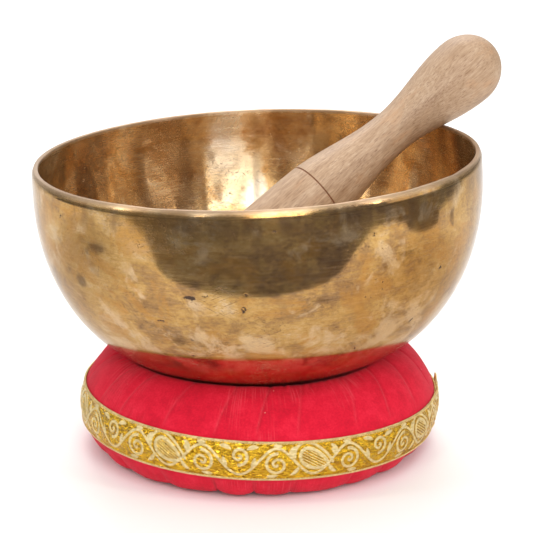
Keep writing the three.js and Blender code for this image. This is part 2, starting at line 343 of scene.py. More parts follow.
def tube(path, radius, sides=6, closed=False):
    """Places and faces of a tube along a path; the ends of an open one are drawn in and closed."""
    count = len(path)
    along = np.roll(path, -1, 0) - np.roll(path, 1, 0) if closed else np.gradient(path, axis=0)
    along /= np.linalg.norm(along, axis=1, keepdims=True)
    side = np.cross(along, (0.0, 0.0, 1.0))
    side /= np.linalg.norm(side, axis=1, keepdims=True)
    other = np.cross(side, along)
    radii = np.full(count, radius)
    if not closed:
        radii[[0, -1]] *= 0.25
    angle = (np.arange(sides) * TAU / sides)[None, :, None]
    ring = np.cos(angle) * side[:, None] + np.sin(angle) * other[:, None]
    places = path[:, None] + ring * radii[:, None, None]
    faces = []
    for i in range(count if closed else count - 1):
        m = (i + 1) % count
        for j in range(sides):
            k = (j + 1) % sides
            faces.append((i * sides + j, i * sides + k, m * sides + k, m * sides + j))
    if not closed:
        faces.append(tuple(range(sides - 1, -1, -1)))
        faces.append(tuple(range((count - 1) * sides, count * sides)))
    return places.reshape(-1, 3), faces


def joined(name, parts):
    """One object from many (places, faces) parts."""
    places, faces, start = [], [], 0
    for part_places, part_faces in parts:
        places.append(part_places)
        faces.extend(tuple(start + k for k in face) for face in part_faces)
        start += len(part_places)
    made = new_piece(name, np.concatenate(places).tolist(), faces)
    shade_smooth(made)
    face_out(made)
    return made


# ---- material helper

class Shade:
    """A procedural material under construction."""

    def __init__(self, name):
        self.material = bpy.data.materials.new(name)
        self.material.use_nodes = True
        self.tree = self.material.node_tree
        self.tree.nodes.clear()
        self.surface = self.put("ShaderNodeBsdfPrincipled")
        out = self.put("ShaderNodeOutputMaterial")
        self.tree.links.new(self.surface.outputs[0], out.inputs["Surface"])

    def put(self, kind, inputs=None, **settings):
        made = self.tree.nodes.new(kind)
        for key, value in settings.items():
            setattr(made, key, value)
        for key, value in (inputs or {}).items():
            self.feed(made.inputs[key], value)
        return made

    def feed(self, socket, value):
        if isinstance(value, bpy.types.NodeSocket):
            self.tree.links.new(value, socket)
        else:
            socket.default_value = value

    def set(self, **values):
        for key, value in values.items():
            self.feed(self.surface.inputs[key.replace("_", " ")], value)

    def number(self, name):
        return self.put("ShaderNodeAttribute", attribute_name=name).outputs["Fac"]

    def place(self, name):
        return self.put("ShaderNodeAttribute", attribute_name=name).outputs["Vector"]

    def scaled(self, vector, scale):
        inputs = {"Vector": vector, "Scale": scale}
        return self.put("ShaderNodeMapping", inputs, vector_type="POINT").outputs[0]

    def noise(self, vector, scale, detail=4.0, roughness=0.55, distortion=0.0):
        inputs = {"Vector": vector, "Scale": scale, "Detail": detail}
        inputs.update({"Roughness": roughness, "Distortion": distortion})
        return self.put("ShaderNodeTexNoise", inputs).outputs["Fac"]

    def cells(self, vector, scale, output="Distance"):
        return self.put("ShaderNodeTexVoronoi", {"Vector": vector, "Scale": scale}).outputs[output]

    def math(self, operation, *values):
        inputs = dict(enumerate(values))
        return self.put("ShaderNodeMath", inputs, operation=operation).outputs[0]

    def times(self, a, b, *added):
        """a times b, and plus a third value where one is given."""
        return self.math("MULTIPLY_ADD" if added else "MULTIPLY", a, b, *added)

    def either(self, a, b):
        return self.math("MAXIMUM", a, b)

    def vector(self, operation, *values):
        inputs = dict(enumerate(values))
        return self.put("ShaderNodeVectorMath", inputs, operation=operation).outputs[0]

    def span(self, value, low, high, to_low=0.0, to_high=1.0):
        inputs = {0: value, 1: low, 2: high, 3: to_low, 4: to_high}
        made = self.put("ShaderNodeMapRange", inputs, interpolation_type="SMOOTHSTEP")
        return made.outputs[0]

    def ramp(self, value, *stops):
        made = self.put("ShaderNodeValToRGB", {"Fac": value})
        elements = made.color_ramp.elements
        while len(elements) < len(stops):
            elements.new(0.5)
        for element, (at, colour) in zip(elements, stops):
            element.position = at
            element.color = (*colour, 1)
        return made.outputs[0]

    def mix(self, share, a, b, blend="MIX"):
        made = self.put("ShaderNodeMix", data_type="RGBA", blend_type=blend)
        self.feed(made.inputs[0], share)
        self.feed(made.inputs[6], (*a, 1) if isinstance(a, tuple) else a)
        self.feed(made.inputs[7], (*b, 1) if isinstance(b, tuple) else b)
        return made.outputs[2]

    def bump(self, height, distance, strength=1.0, normal=None):
        inputs = {"Height": height, "Distance": distance, "Strength": strength}
        made = self.put("ShaderNodeBump", inputs)
        if normal is not None:
            self.feed(made.inputs["Normal"], normal)
        return made.outputs[0]


# ---- bowl

def bowl_outer_height(radius, rim_radius):
    """Height of the bowl's outside above its base, at a radius."""
    share = (radius - BASE_RADIUS) / (rim_radius - BASE_RADIUS)
    return UPRIGHT_HEIGHT * (1 - curve_share(share, BOWL_CURVE))


def bowl_curve(rim_radius, steps=160):
    angle = np.linspace(0, np.pi / 2, steps)
    radius = BASE_RADIUS + (rim_radius - BASE_RADIUS) * np.sin(angle) ** (2 / BOWL_CURVE)
    height = UPRIGHT_HEIGHT * (1 - np.cos(angle) ** (2 / BOWL_CURVE))
    return np.stack([radius, height], 1)


def arc(centre, radius, start, end, steps):
    angle = np.linspace(start, end, steps)
    x = centre[0] + radius * np.cos(angle)
    return np.stack([x, centre[1] + radius * np.sin(angle)], 1)


def bowl_outline(rim_radius, height):
    """Outline [radius, height] from the base's middle, over the lip, to the floor's middle.

    Also gives 1 on the outside and 0 on the inside at each point."""
    curve = bowl_curve(rim_radius)
    curve_in = curve - outline_normals(curve) * WALL
    base = np.array([[0.5 * MM, 0.5 * MM], [BASE_RADIUS * 0.5, 0.25 * MM]])
    bevel_low = np.array([[rim_radius, height - LIP_BEVEL_HEIGHT]])
    top_out = rim_radius - LIP_BEVEL_DEPTH - LIP_ROUNDING * 0.6
    top_in = rim_radius - LIP_THICKNESS + LIP_ROUNDING
    round_out = arc((top_out, height - LIP_ROUNDING), LIP_ROUNDING, 0.6, np.pi / 2, 6)
    round_in = arc((top_in, height - LIP_ROUNDING), LIP_ROUNDING, np.pi / 2, np.pi, 6)
    inner_top = np.array([[rim_radius - WALL - 0.4 * MM, height - LIP_THICKENING]])
    floor = np.array([[BASE_RADIUS * 0.5, WALL], [0.5 * MM, WALL]])
    outside = evenly(np.concatenate([base, curve, bevel_low]), 1.9 * MM)
    under_rim = np.clip((outside[:, 1] - height + RIM_LEAN_FROM) / RIM_LEAN_FROM, 0, 1)
    outside[:, 0] -= RIM_LEAN * under_rim ** 2
    lip = np.concatenate([round_out, round_in])
    inside = evenly(np.concatenate([round_in[-1:], inner_top, curve_in[::-1], floor]), 1.9 * MM)
    outline = np.concatenate([outside, lip, inside[1:]])
    side = np.concatenate([np.ones(len(outside)), np.zeros(len(outline) - len(outside))])
    return outline, side


def dents(azimuth, radius, run, rng, count, at_range, across_range, tall_range, depth_range):
    """Depth of many shallow hammer marks at each [row, column]."""
    depth = np.zeros((len(run), len(azimuth)))
    for _ in range(count):
        at = rng.uniform(*at_range)
        turn = rng.uniform(0, TAU)
        across = rng.uniform(*across_range)
        tall = rng.uniform(*tall_range)
        deep = rng.uniform(*depth_range)
        local = np.interp(at, run, radius)
        rows = np.abs(run - at) < 3 * tall
        sideways = wrapped(azimuth - turn) * max(local, 10 * MM)
        depth[rows] += deep * bell((run[rows] - at)[:, None], tall) * bell(sideways[None], across)
    return depth


def hammered(outline, side, azimuth, rng):
    """How far each place of the bowl is pressed into the metal."""
    run = arc_lengths(outline)
    lip_at = run[side > 0].max()
    end = run[-1]
    radius = outline[:, 0]
    small = dents(azimuth, radius, run, rng, 170, (30 * MM, lip_at - 6 * MM),
                  (5 * MM, 11 * MM), (5 * MM, 12 * MM), (-0.03 * MM, 0.08 * MM))
    broad = dents(azimuth, radius, run, rng, 70, (30 * MM, lip_at), (16 * MM, 30 * MM),
                  (12 * MM, 24 * MM), (-0.12 * MM, 0.26 * MM))
    flutes = dents(azimuth, radius, run, rng, 230, (lip_at + 8 * MM, end - 25 * MM),
                   (4 * MM, 11 * MM), (9 * MM, 26 * MM), (0.05 * MM, 0.5 * MM))
    facets = dents(azimuth, radius, run, rng, 520, (lip_at + 10 * MM, end),
                   (2.5 * MM, 5.5 * MM), (3 * MM, 8 * MM), (0.0, 0.20 * MM))
    near_lip = bell(run - lip_at, 5 * MM)
    near_base = bell(run, 25 * MM)
    outside = (small + broad) * side[:, None] * ((1 - near_lip) * (1 - near_base))[:, None]
    inner = DEEPEST_DENT * np.tanh((flutes + facets) / DEEPEST_DENT)
    inside = inner * ((1 - side) * (1 - near_lip))[:, None]
    return outside + inside


def rim_warp(azimuth, rng):
    """The hand-made unevenness of the rim, as radius and height changes in metres."""
    out = np.zeros_like(azimuth)
    up = np.zeros_like(azimuth)
    for waves in (2, 3, 5, 7, 11):
        out += rng.uniform(-1, 1) * np.sin(waves * azimuth + rng.uniform(0, TAU)) / waves
        up += rng.uniform(-1, 1) * np.sin(waves * azimuth + rng.uniform(0, TAU)) / waves
    return out * 0.35 * MM, up * 0.35 * MM


def spots(table, azimuth, level):
    """How close each place is to one of the listed spots, from 0 to 1."""
    total = np.zeros(level.shape)
    for turn, high, across, tall in table:
        sideways = wrapped(azimuth - turn * DEG)[None] * 0.12
        total += bell(sideways, across * MM) * bell(level - high * MM, tall * MM)
    return np.clip(total, 0, 1)


def make_bowl(place, height, rim_radius):
    rng = np.random.default_rng(7)
    outline, side = bowl_outline(rim_radius, height)
    azimuth = np.arange(BOWL_COLUMNS) * TAU / BOWL_COLUMNS
    normals = outline_normals(outline)
    pressed = hammered(outline, side, azimuth, rng)
    out, up = rim_warp(azimuth, rng)
    lift = (outline[:, 1] / height)[:, None] ** 2
    radius = outline[:, 0][:, None] - normals[:, 0][:, None] * pressed + out[None] * lift
    level = outline[:, 1][:, None] - normals[:, 1][:, None] * pressed + up[None] * lift
    x = radius * np.cos(azimuth)
    y = radius * np.sin(azimuth)
    bowl = grid_object("hammered_bowl", np.stack([x, y, level], -1))
    cap_poles(bowl, len(outline), BOWL_COLUMNS)
    run = arc_lengths(outline)
    local = np.stack([x, y, np.repeat(run[:, None], BOWL_COLUMNS, 1)], -1)
    store(bowl, "shell_space", local.reshape(-1, 3))
    outside, inside = side[:, None], 1 - side[:, None]
    near_lip = bell(run - run[side > 0].max() + 5 * MM, 7 * MM)[:, None]
    stored = {
        "lip": smooth((level - (height - 2.0 * MM)) / (1.1 * MM)),
        "inside": inside,
        "low": outside * smooth((0.62 - level / height) / 0.4),
        "foot": outside * smooth((0.22 - level / height) / 0.08),
        "dark_band_under_lip": outside * near_lip,
        "marks": outside * spots(OXIDE_MARKS, azimuth, level),
        "smudged": outside * spots(SMUDGES, azimuth, level),
        "tarnished_and_shaded": inside * spots(TARNISH_AND_SHADE, azimuth, level),
        "rubbed_and_highlit": inside * spots(SILVERY_SPOTS_AND_HIGHLIGHTS, azimuth, level),
    }
    for name, values in stored.items():
        store(bowl, name, np.broadcast_to(values, level.shape).reshape(-1))
    bowl.data.transform(place)
    face_out(bowl)
    return bowl


def streaks(s, space, turn, scale, low, high):
    """Thin scattered strokes that all run one way."""
    inputs = {"Vector": space, "Rotation": turn, "Scale": scale}
    leaning = s.put("ShaderNodeMapping", inputs, vector_type="TEXTURE").outputs[0]
    return s.span(s.noise(leaning, 1.0, 2.0, 0.5), low, high)


def scratch_layer(s, space):
    """Scattered fine scratches in several directions."""
    falling = streaks(s, space, (0, 0.55, 0.1), (0.024, 0.0007, 0.0007), 0.61, 0.70)
    steep = streaks(s, space, (0, 1.05, 0.2), (0.018, 0.0006, 0.0006), 0.63, 0.71)
    rising = streaks(s, space, (0, -0.45, 0), (0.020, 0.0007, 0.0007), 0.62, 0.71)
    some = s.either(s.either(falling, steep), rising)
    where = s.span(s.noise(space, 34.0, 3.0), 0.42, 0.62)
    return s.times(some, where)


def pit_layer(s, space, marks):
    """Dark oxide pits: a few single ones, small groups, and the stated marks."""
    torn = s.span(s.noise(space, 480.0, 3.0, 0.6), 0.40, 0.56)
    rare = s.span(s.cells(space, 46.0), 0.028, 0.065, 1.0, 0.0)
    grouped = s.span(s.noise(space, 27.0, 2.0), 0.63, 0.70)
    small = s.span(s.cells(space, 340.0), 0.08, 0.20, 1.0, 0.0)
    single = s.times(rare, torn)
    group = s.times(s.times(grouped, small), torn)
    stated = s.span(s.times(torn, 0.55, s.times(marks, 0.75)), 0.72, 0.92)
    return s.either(s.either(single, group), stated)


def bronze_tones(s, space, inside, cloud, mottle):
    """Sound metal, darker outside than inside, with amber and brown stains."""
    grain = s.noise(s.scaled(space, (0.8, 0.8, 1.5)), 420.0, 4.0, 0.7)
    tone = s.times(mottle, 0.40, s.times(cloud, 0.36))
    tone = s.times(grain, 0.24, tone)
    outer = s.ramp(
        tone,
        (0.38, (0.225, 0.122, 0.052)),
        (0.45, (0.360, 0.198, 0.072)),
        (0.51, (0.500, 0.290, 0.088)),
        (0.56, (0.560, 0.345, 0.125)),
        (0.62, (0.630, 0.440, 0.240)),
    )
    inner = s.ramp(
        tone,
        (0.38, (0.440, 0.235, 0.085)),
        (0.46, (0.610, 0.375, 0.150)),
        (0.54, (0.710, 0.480, 0.220)),
        (0.62, (0.800, 0.610, 0.350)),
    )
    body = s.mix(inside, outer, inner)
    amber = s.span(s.noise(space, 31.0, 5.0, 0.65, 0.8), 0.49, 0.60, 0.0, 0.62)
    body = s.mix(amber, body, (0.470, 0.225, 0.048))
    stain = s.span(s.noise(space, 47.0, 6.0, 0.65, 1.1), 0.55, 0.62, 0.0, 0.34)
    return s.mix(stain, body, (0.270, 0.150, 0.062))


def aged_inside(s, body, cloud, mottle):
    """The stated brown tarnish, partly painted shade, and rubbed silvery spots, partly painted
    highlights.
    """
    # brown tarnish, partly painted shade
    tarnish_and_shade = s.times(mottle, 0.5, s.number("tarnished_and_shaded"))
    body = s.mix(s.span(tarnish_and_shade, 0.60, 0.88), body, (0.50, 0.44, 0.40), "MULTIPLY")
    # silvery spots, partly painted highlights
    silver_and_highlight = s.span(s.times(mottle, 1.3, s.number("rubbed_and_highlit")), 0.92, 1.36)
    rubbed_and_highlight_colour = s.mix(s.span(cloud, 0.42, 0.58), (0.76, 0.58, 0.34), (0.76, 0.65, 0.50))
    return s.mix(silver_and_highlight, body, rubbed_and_highlight_colour)


def aged_outside(s, body, space, mottle, haze, brushed):
    """Pale haze, brushed lines, a redder foot, the stated smudges and dark runs under the lip,
    partly a painted reflection.
    """
    body = s.mix(s.times(haze, 0.60), body, (0.730, 0.530, 0.315))
    body = s.mix(s.times(brushed, 0.10), body, (0.66, 0.50, 0.34))
    body = s.mix(s.times(s.number("foot"), 0.60), body, (0.740, 0.240, 0.060))
    smudge = s.times(s.number("smudged"), 0.6)
    smudge = s.span(s.times(mottle, 1.6, smudge), 1.02, 1.40)
    body = s.mix(smudge, body, (0.46, 0.42, 0.40), "MULTIPLY")
    # a band of streaky dark runs under the lip, which also paints in the dark surroundings reflected
    # there: partly painted reflection
    dark_runs_and_reflection = s.span(s.noise(s.scaled(space, (1.5, 1.5, 0.3)), 62.0, 4.0, 0.6), 0.42, 0.62)
    dark_runs_and_reflection = s.times(s.times(dark_runs_and_reflection, s.number("dark_band_under_lip")), 0.6)
    return s.mix(dark_runs_and_reflection, body, (0.22, 0.12, 0.055))


def bronze_material():
    s = Shade("hammered_bronze")
    space = s.place("shell_space")
    lip, inside = s.number("lip"), s.number("inside")
    cloud = s.noise(space, 20.0, 3.0, 0.5, 0.5)
    mottle = s.noise(s.scaled(space, (1.0, 1.0, 1.25)), 80.0, 7.0, 0.68, 0.35)
    haze = s.times(s.number("low"), 0.12, s.noise(space, 52.0, 6.0, 0.62, 0.5))
    haze = s.span(haze, 0.55, 0.68)
    lines = s.noise(s.scaled(space, (1.0, 1.0, 30.0)), 40.0, 4.0, 0.65)
    brushed = s.span(lines, 0.46, 0.64)
    scratches = scratch_layer(s, space)
    pits = pit_layer(s, space, s.number("marks"))
    dust = s.noise(s.scaled(space, (1.0, 1.0, 2.2)), 120.0, 5.0, 0.7, 0.3)
    body = bronze_tones(s, space, inside, cloud, mottle)
    body = aged_inside(s, body, cloud, mottle)
    body = aged_outside(s, body, space, mottle, haze, brushed)
    body = s.mix(s.times(scratches, 0.72), body, (0.21, 0.110, 0.045))
    body = s.mix(s.times(pits, 0.9), body, (0.070, 0.042, 0.036))
    lip_tone = s.mix(mottle, (0.38, 0.235, 0.14), (0.54, 0.39, 0.27))
    body = s.mix(s.times(lip, 0.8), body, lip_tone)
    rough = s.times(brushed, 0.06, s.span(cloud, 0.35, 0.65, 0.07, 0.13))
    for layer, added in ((haze, 0.05), (scratches, 0.15), (inside, 0.10), (lip, 0.20), (pits, 0.4)):
        rough = s.times(layer, added, rough)
    metal = s.times(inside, -0.08, 0.97)
    for layer, lost in ((s.span(dust, 0.40, 0.68), 0.09), (scratches, 0.15), (lip, 0.25)):
        metal = s.times(layer, -lost, metal)
    normal = s.bump(s.times(lines, s.times(inside, 3.2, 0.4)), 0.018 * MM, 0.8)
    normal = s.bump(s.noise(space, 700.0, 2.0), 0.006 * MM, 0.5, normal)
    normal = s.bump(s.math("SUBTRACT", 1.0, pits), 0.08 * MM, 0.8, normal)
    s.set(Base_Color=body, Metallic=metal, Roughness=rough, Normal=normal)
    s.set(Specular_Tint=(0.72, 0.70, 0.68, 1), Coat_Weight=0.2, Coat_Roughness=0.42)
    round_axis = s.put("ShaderNodeTangent", direction_type="RADIAL", axis="Z").outputs[0]
    s.set(Anisotropic=inside, Anisotropic_Rotation=0.25, Tangent=round_axis)
    return s.material


# ---- mallet

def mallet_radius(distance, length):
    """Radius of the mallet at a distance from the tip of its head."""
    head = HEAD_RADIUS * np.sqrt(np.clip(1 - (1 - distance / HEAD_CAP) ** 2, 0, 1))
    neck = smooth((distance - HEAD_CAP) / (WAIST_AT - HEAD_CAP))
    neck = HEAD_RADIUS + (WAIST_RADIUS - HEAD_RADIUS) * neck
    belly = smooth((distance - WAIST_AT) / (BELLY_AT - WAIST_AT))
    belly = WAIST_RADIUS + (BELLY_RADIUS - WAIST_RADIUS) * belly
    left = length - distance
    foot = BELLY_RADIUS * np.sqrt(np.clip(1 - (1 - left / FOOT_CAP) ** 2, 0, 1))
    radius = np.where(distance < HEAD_CAP, head, np.where(distance < WAIST_AT, neck, belly))
    return np.where(left < FOOT_CAP, foot, radius)


def mallet_rows(length):
    """Distances from the head's tip for the rows of the mesh, close together at the groove."""
    share = np.linspace(0.03, np.pi / 2, 24)
    head = HEAD_CAP * (1 - np.cos(share))
    foot = length - FOOT_CAP * (1 - np.cos(share[::-1]))
    body = np.arange(HEAD_CAP + 2 * MM, length - FOOT_CAP, 2 * MM)
    body = body[np.abs(body - GROOVE_AT) > 2.4 * GROOVE_HALF]
    near_groove = GROOVE_AT + np.linspace(-2.2, 2.2, 23) * GROOVE_HALF
    return np.unique(np.concatenate([head, body, near_groove, foot]))


def make_mallet(place, length):
    distance = mallet_rows(length)
    across = (distance - GROOVE_AT) / GROOVE_HALF
    groove = np.clip(1 - np.abs(across) ** 1.6, 0, 1)
    radius = mallet_radius(distance, length) - GROOVE_DEPTH * groove
    outline = np.stack([radius, length - distance], 1)[::-1]
    azimuth = np.arange(MALLET_COLUMNS) * TAU / MALLET_COLUMNS
    uneven = 0.10 * MM * np.sin(3 * azimuth[None] + outline[:, 1][:, None] * 30)
    radii = outline[:, 0][:, None] + uneven * (outline[:, 0] / BELLY_RADIUS)[:, None]
    level = np.repeat(outline[:, 1][:, None], MALLET_COLUMNS, 1)
    grid = np.stack([radii * np.cos(azimuth), radii * np.sin(azimuth), level], -1)
    mallet = grid_object("turned_mallet", grid)
    cap_poles(mallet, len(outline), MALLET_COLUMNS)
    store(mallet, "wood_space", grid.reshape(-1, 3))
    dark = np.clip(1 - np.abs(across) ** 2 * 0.9, 0, 1)[::-1]
    store(mallet, "groove", np.repeat(dark, MALLET_COLUMNS))
    mallet.data.transform(place)
    face_out(mallet)
    return mallet


def wood_material():
    s = Shade("pale_turned_wood")
    space = s.place("wood_space")
    groove = s.number("groove")
    leaning = s.put("ShaderNodeMapping", {"Vector": space, "Rotation": (0.05, 0.04, 0)}).outputs[0]
    rings = s.noise(s.scaled(leaning, (1, 1, 0.10)), 70.0, 3.0, 0.55, 0.5)
    fibre = s.noise(s.scaled(leaning, (1, 1, 0.09)), 1050.0, 4.0, 0.75, 0.2)
    mottle = s.noise(s.scaled(leaning, (1, 1, 0.35)), 190.0, 5.0, 0.7, 0.8)
    tone = s.times(fibre, 0.56, s.times(rings, 0.30))
    tone = s.times(mottle, 0.14, tone)
    body = s.ramp(
        tone,
        (0.38, (0.285, 0.165, 0.090)),
        (0.46, (0.400, 0.255, 0.152)),
        (0.53, (0.480, 0.322, 0.202)),
        (0.62, (0.580, 0.420, 0.288)),
    )
    level = s.put("ShaderNodeSeparateXYZ", {"Vector": space}).outputs[2]
    # painted shade: the head end is made darker towards its tip
    painted_shade_at_head = s.span(level, 0.14, 0.25, 0.0, 0.20)
    body = s.mix(painted_shade_at_head, body, (0.20, 0.11, 0.055))
    rusty = s.span(s.noise(s.scaled(leaning, (1, 1, 0.4)), 85.0, 4.0, 0.65), 0.54, 0.70, 0.0, 0.5)
    body = s.mix(rusty, body, (0.50, 0.285, 0.150))
    pore = s.cells(s.scaled(leaning, (1, 1, 0.11)), 1250.0)
    open_pore = s.span(pore, 0.08, 0.36, 1.0, 0.0)
    some = s.span(s.noise(space, 300.0, 2.0), 0.30, 0.50)
    pores = s.times(open_pore, some)
    body = s.mix(s.times(pores, 0.80), body, (0.220, 0.115, 0.062))
    body = s.mix(s.times(groove, 0.80), body, (0.240, 0.085, 0.040))
    rough = s.span(fibre, 0.3, 0.7, 0.40, 0.58)
    normal = s.bump(s.math("SUBTRACT", 1.0, pores), 0.05 * MM, 0.6)
    normal = s.bump(fibre, 0.03 * MM, 0.5, normal)
    s.set(Base_Color=body, Roughness=rough, Normal=normal, Specular_IOR_Level=0.35)
    return s.material


# ---- cushion

def side_radius(height):
    """Radius of the cushion's plain side at a height above the table."""
    low = 1 - np.clip(height, 0, None) / GIRTH_HEIGHT
    lower = FOOTPRINT_RADIUS + (COVER_RADIUS - FOOTPRINT_RADIUS) * curve_share(low, 2)
    high = (height - GIRTH_HEIGHT) / (CROWN_HEIGHT - GIRTH_HEIGHT)
    upper = CROWN_RADIUS + (COVER_RADIUS - CROWN_RADIUS) * curve_share(high, CROWN_CURVE)
    return np.where(height < GIRTH_HEIGHT, lower, upper)


def bowl_underside(radius, azimuth, place, rim_radius):
    """Height above the table of the bowl's outside, over a place on the cushion."""
    axis = place.to_3x3() @ Vector((0, 0, 1))
    x = radius * np.cos(azimuth) - place.translation.x
    y = radius * np.sin(azimuth) - place.translation.y
    uphill = -(x * axis.x + y * axis.y) / axis.z
    return place.translation.z + bowl_outer_height(np.hypot(x, y), rim_radius) + uphill


def cover_outline():
    """Plain outline of the cushion: over the top, down the side, in below and up the middle."""
    top = np.linspace(GATHER_RADIUS, CROWN_RADIUS, 60)
    top = np.stack([top, np.full(60, CROWN_HEIGHT)], 1)
    angle = np.linspace(0, np.pi / 2, 60)[1:]
    upper = np.stack([
        CROWN_RADIUS + (COVER_RADIUS - CROWN_RADIUS) * np.sin(angle) ** (2 / CROWN_CURVE),
        GIRTH_HEIGHT + (CROWN_HEIGHT - GIRTH_HEIGHT) * np.cos(angle) ** (2 / CROWN_CURVE),
    ], 1)
    lower = arc((0, 0), 1, 0, -np.pi / 2, 50)[1:]
    lower = lower * (COVER_RADIUS - FOOTPRINT_RADIUS, GIRTH_HEIGHT)
    lower = lower + (FOOTPRINT_RADIUS, GIRTH_HEIGHT)
    under = np.linspace(FOOTPRINT_RADIUS, GATHER_RADIUS, 60)[1:]
    under = np.stack([under, np.zeros(59)], 1)
    return evenly(np.concatenate([top, upper, lower, under]), 1.7 * MM)


def pleat_table(rng):
    """Edges of the pleats round the turn, and how strongly each one shows."""
    widths = rng.uniform(0.7, 1.3, PLEATS)
    edges = np.concatenate([[0], np.cumsum(widths)]) / widths.sum() * TAU
    return edges, rng.uniform(0.35, 1.0, PLEATS)


def pleat_fall(azimuth, edges, strength, sharpness):
    """How far the cloth falls below the crown of its pleat, from 0 to 1."""
    turn = azimuth % TAU
    which = np.clip(np.searchsorted(edges, turn, side="right") - 1, 0, PLEATS - 1)
    share = (turn - edges[which]) / (edges[which + 1] - edges[which])
    tucked = np.where(share < 0.5, share, 1 - share) * 2
    fall = (1 - tucked) ** sharpness
    return fall * strength[which]


def wrinkles(azimuth, rng, low, high, count):
    total = np.zeros_like(azimuth)
    for _ in range(count):
        waves = int(rng.integers(low, high))
        total += np.sin(waves * azimuth + rng.uniform(0, TAU)) * rng.uniform(0.4, 1)
    return total / math.sqrt(count)


def dimples(azimuth, outline, rng):
    """Soft hollows where the filling has settled, from 0 to about 1."""
    run = arc_lengths(outline)
    soft = dents(azimuth, outline[:, 0], run, rng, 130, (0, run[-1]), (6 * MM, 16 * MM),
                 (6 * MM, 14 * MM), (0.0, 0.7))
    return np.clip(soft, 0, 1.2)


def cover_relief(outline, azimuth, rng):
    """How far the cloth lies below its plain outline, and how strongly its creases get a painted
    highlight and, beside it, painted shade.
    """
    radius, height = outline.T
    over = (height > GIRTH_HEIGHT).astype(float)
    edges, strength = pleat_table(rng)
    # pleats lean a little on the top and go straight down below the ribbon
    lean = 7 * DEG * over * (COVER_RADIUS - radius) / (COVER_RADIUS - CROWN_RADIUS)
    lean = np.minimum(lean, 16 * DEG)
    turned = azimuth[None] - lean[:, None]
    broad = pleat_fall(turned, edges, strength, 2.4)
    crease = pleat_fall(turned, edges, strength, 34.0)
    shoulder = smooth((height - 36 * MM) / (9 * MM)) * over
    toe = (1 - over) * smooth((17 * MM - height) / (9 * MM))
    centre = smooth((60 * MM - radius) / (45 * MM))
    depth = (0.75 * shoulder + 2.8 * toe + 1.6 * centre)[:, None] * broad
    depth += (0.85 * shoulder + 0.8 * toe + 0.5 * centre)[:, None] * crease
    fine = wrinkles(turned, rng, 60, 170, 9)
    medium = wrinkles(azimuth, rng, 12, 34, 7)
    puckered = smooth(wrinkles(azimuth, rng, 2, 6, 4) * 0.6 + 0.35)
    near_bowl = smooth((radius - 66 * MM) / (6 * MM)) * smooth((86 * MM - radius) / (10 * MM)) * over
    folds = (0.10 + 0.9 * puckered)[None] * near_bowl[:, None]
    depth += (folds + (0.5 * centre + 0.10 * toe)[:, None]) * (1 + fine * 0.5)
    depth += (0.10 * shoulder + 0.5 * toe)[:, None] * (0.6 + medium * 0.5)
    depth += 0.22 * shoulder[:, None] * dimples(azimuth, outline, rng)
    showing = (shoulder + toe + centre)[:, None]
    # a crease line set a little to one side carries painted shade; the crease itself carries a
    # painted highlight
    painted_shade_beside_crease = pleat_fall(turned - 0.6 * DEG, edges, strength, 30.0)
    painted_crease_highlight, painted_crease_shade = (np.clip(each, 0, 1) * showing for each in (crease, painted_shade_beside_crease))
    return np.clip(depth, 0, None) * MM, painted_crease_highlight, painted_crease_shade


def make_cover(bowl_place, rim_radius):
    outline = cover_outline()
    normals = -outline_normals(outline)
    radius, height = outline.T
    azimuth = np.arange(COVER_COLUMNS) * TAU / COVER_COLUMNS
    over = (height > GIRTH_HEIGHT).astype(float)
    depth, painted_crease_highlight, painted_crease_shade = cover_relief(outline, azimuth, np.random.default_rng(21))
    flat_radius = radius[:, None] - normals[:, 0][:, None] * depth
    level = height[:, None] - normals[:, 1][:, None] * depth
    pressed = bowl_underside(flat_radius, azimuth[None], bowl_place, rim_radius) - BOWL_CLEARANCE
    on_top = (over * (radius < 92 * MM))[:, None]
    soft_fold = depth * 0.6
    level = np.where(on_top > 0, np.minimum(level, pressed - soft_fold), level)
    gather = 1 - smooth((radius - GATHER_RADIUS) / GATHER_REACH)
    level = level - (over * TOP_GATHER_DEPTH * gather)[:, None]
    level = level + ((1 - over) * UNDER_GATHER_DEPTH * gather)[:, None]
    level = np.maximum(level, 0.0)
    grid = np.stack([flat_radius * np.cos(azimuth), flat_radius * np.sin(azimuth), level], -1)
    cover = grid_object("cushion_cover_cloth", grid, ring_rows=True)
    store(cover, "cloth_space", grid.reshape(-1, 3))
    store(cover, "painted_crease_highlight", painted_crease_highlight.reshape(-1))
    store(cover, "painted_crease_shade", painted_crease_shade.reshape(-1))
    face_out(cover)
    return cover


